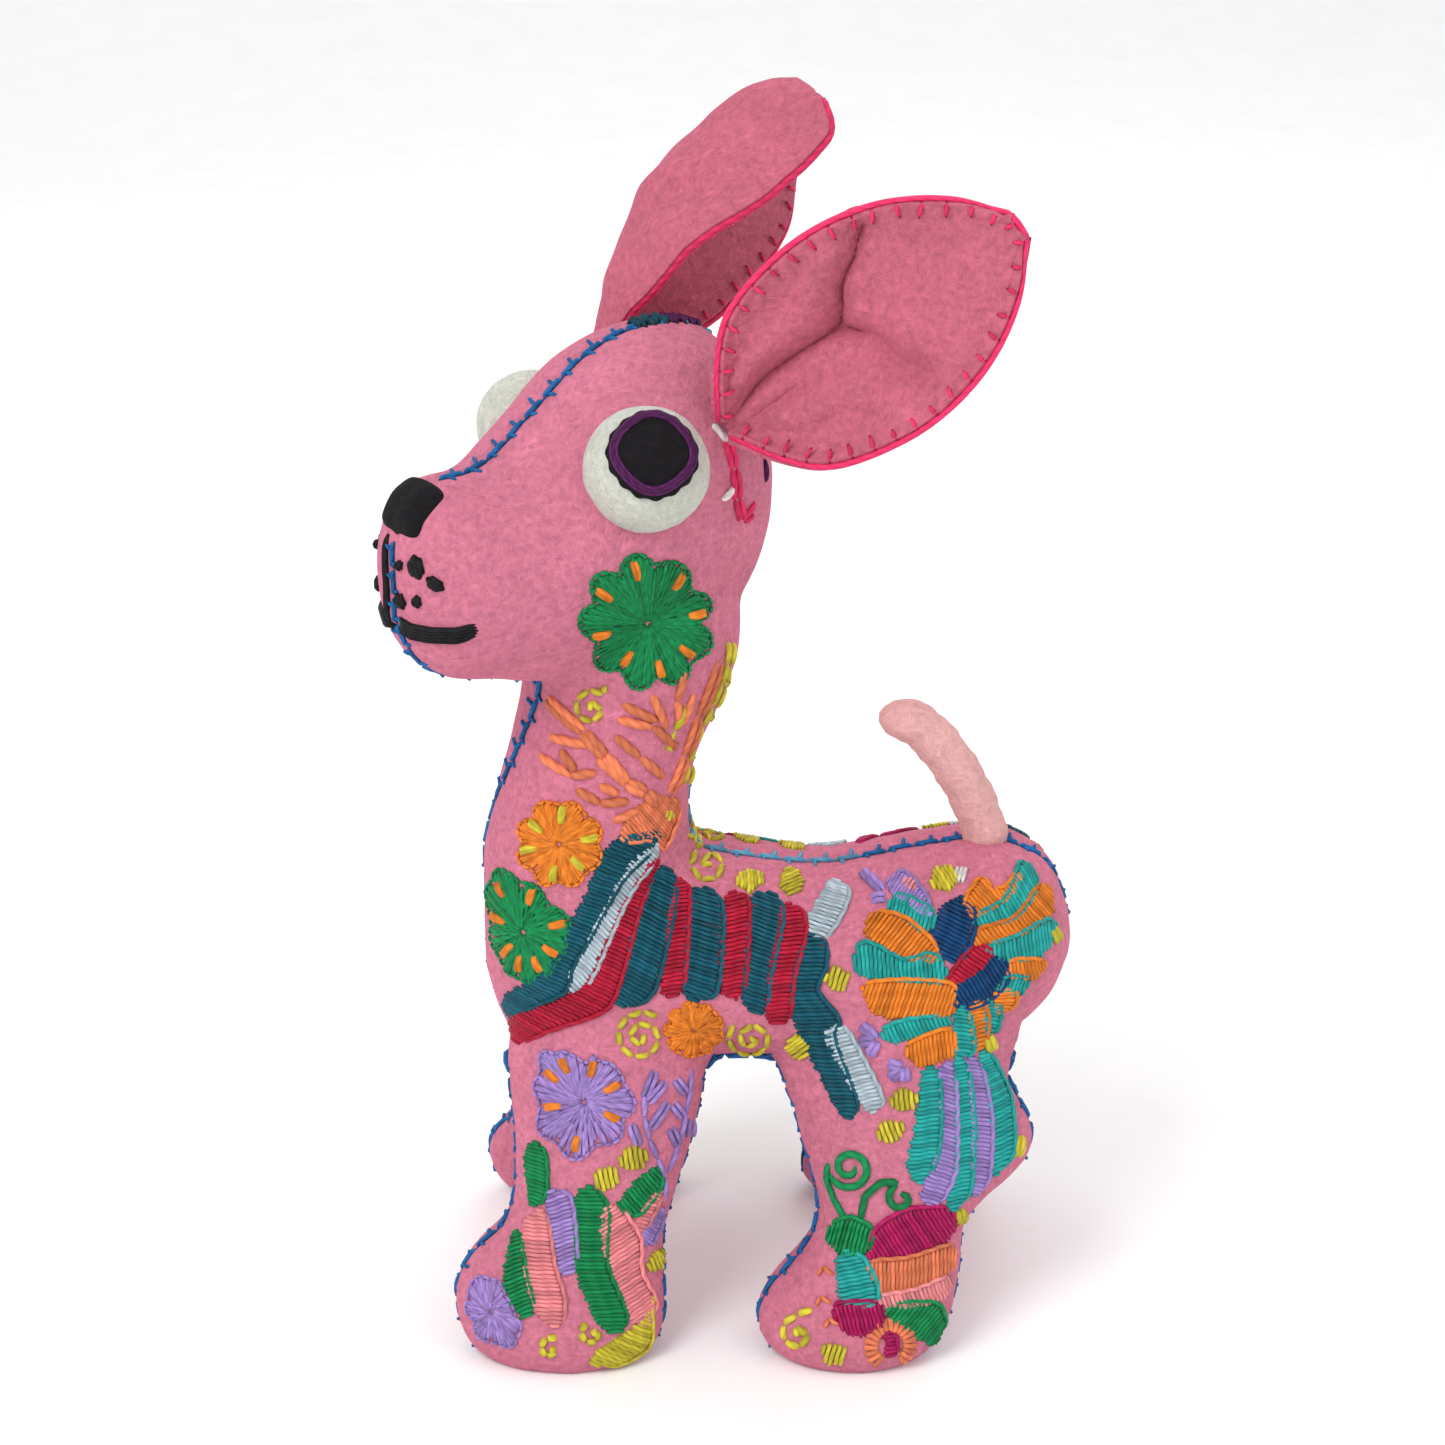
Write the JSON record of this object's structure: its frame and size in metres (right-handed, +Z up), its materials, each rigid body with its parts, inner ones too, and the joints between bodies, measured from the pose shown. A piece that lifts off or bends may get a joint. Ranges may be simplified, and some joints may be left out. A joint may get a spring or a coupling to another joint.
{
  "type": "stuffed embroidered felt animal",
  "caption": "Stuffed pink wool-felt animal with large ears, standing on four legs, hand-embroidered with flowers, a deer, a bird and a butterfly.",
  "frame": {"origin": "bottom centre of the bounding box, on the surface that the four soles stand on", "axes": "+Z up, -X the way that the body faces (nose end), +X the tail end, -Y the left flank"},
  "size_m": [0.1328, 0.1046, 0.236],
  "materials": {
    "body_felt": "matte",
    "ear_felt": "matte",
    "tail_felt": "matte",
    "fibre_filling": "matte",
    "white_felt": "matte",
    "black_felt": "matte",
    "purple_thread": "matte",
    "black_thread": "matte",
    "cobalt_thread": "matte",
    "light_blue_thread": "matte",
    "hot_pink_thread": "matte",
    "green_thread": "matte",
    "orange_thread": "matte",
    "yellow_thread": "matte",
    "violet_thread": "matte",
    "dark_teal_thread": "matte",
    "aqua_thread": "matte",
    "crimson_thread": "matte",
    "pale_blue_thread": "matte",
    "salmon_thread": "matte",
    "pink_thread": "matte",
    "navy_thread": "matte",
    "magenta_thread": "matte",
    "white_thread": "matte"
  },
  "bodies": {
    "figure": {"body_filling": "fibre_filling", "head_filling": "fibre_filling", "left_belly_orange_flower": "orange_thread", "left_bird_embroidery": "orange_thread", "left_butterfly_embroidery": "magenta_thread", "left_cheek_flower": "green_thread", "left_chest_green_flower": "green_thread", "left_chest_orange_flower": "orange_thread", "left_deer_embroidery": "dark_teal_thread", "left_eye_ball": "white_felt", "left_front_leg_filling": "fibre_filling", "left_hind_leg_filling": "fibre_filling", "left_inner_panel": "body_felt", "left_leg_seam_thread": "cobalt_thread", "left_leg_stripe_embroidery": "green_thread", "left_leg_violet_flower": "violet_thread", "left_pupil": "black_felt", "left_pupil_ring": "purple_thread", "left_side_panel": "body_felt", "lip_line_stitch": "black_thread", "middle_seam_thread": "cobalt_thread", "mouth_stitch": "black_thread", "nose_patch": "black_felt", "right_belly_orange_flower": "orange_thread", "right_bird_embroidery": "orange_thread", "right_butterfly_embroidery": "magenta_thread", "right_cheek_flower": "green_thread", "right_chest_green_flower": "green_thread", "right_chest_orange_flower": "orange_thread", "right_deer_embroidery": "dark_teal_thread", "right_eye_ball": "white_felt", "right_front_leg_filling": "fibre_filling", "right_hind_leg_filling": "fibre_filling", "right_inner_panel": "body_felt", "right_leg_seam_thread": "cobalt_thread", "right_leg_stripe_embroidery": "green_thread", "right_leg_violet_flower": "violet_thread", "right_pupil": "black_felt", "right_pupil_ring": "purple_thread", "right_side_panel": "body_felt", "whisker_stitches": "black_thread"},
    "left_ear": {"left_ear_back_layer": "ear_felt", "left_ear_edge_thread": "hot_pink_thread", "left_ear_front_layer": "ear_felt"},
    "right_ear": {"right_ear_back_layer": "ear_felt", "right_ear_edge_thread": "hot_pink_thread", "right_ear_front_layer": "ear_felt"},
    "tail": {"tail_cover": "tail_felt", "tail_filling": "fibre_filling"}
  },
  "joints": [
    {"name": "left_ear_flop", "type": "hinge", "parent": "figure", "child": "left_ear", "pos_m": [-0.00139, -0.02092, 0.181], "axis": [0, 0, 1], "range_deg": [-25, 20], "stiffness_Nm_per_rad": 0.01},
    {"name": "right_ear_flop", "type": "hinge", "parent": "figure", "child": "right_ear", "pos_m": [-0.02902, 0.02004, 0.181], "axis": [0, 0, 1], "range_deg": [-5, 25], "stiffness_Nm_per_rad": 0.01},
    {"name": "tail_bend", "type": "hinge", "parent": "figure", "child": "tail", "pos_m": [0.04712, -0.00738, 0.1009], "axis": [0, 1, 0], "range_deg": [-25, 25], "stiffness_Nm_per_rad": 0.01}
  ]
}
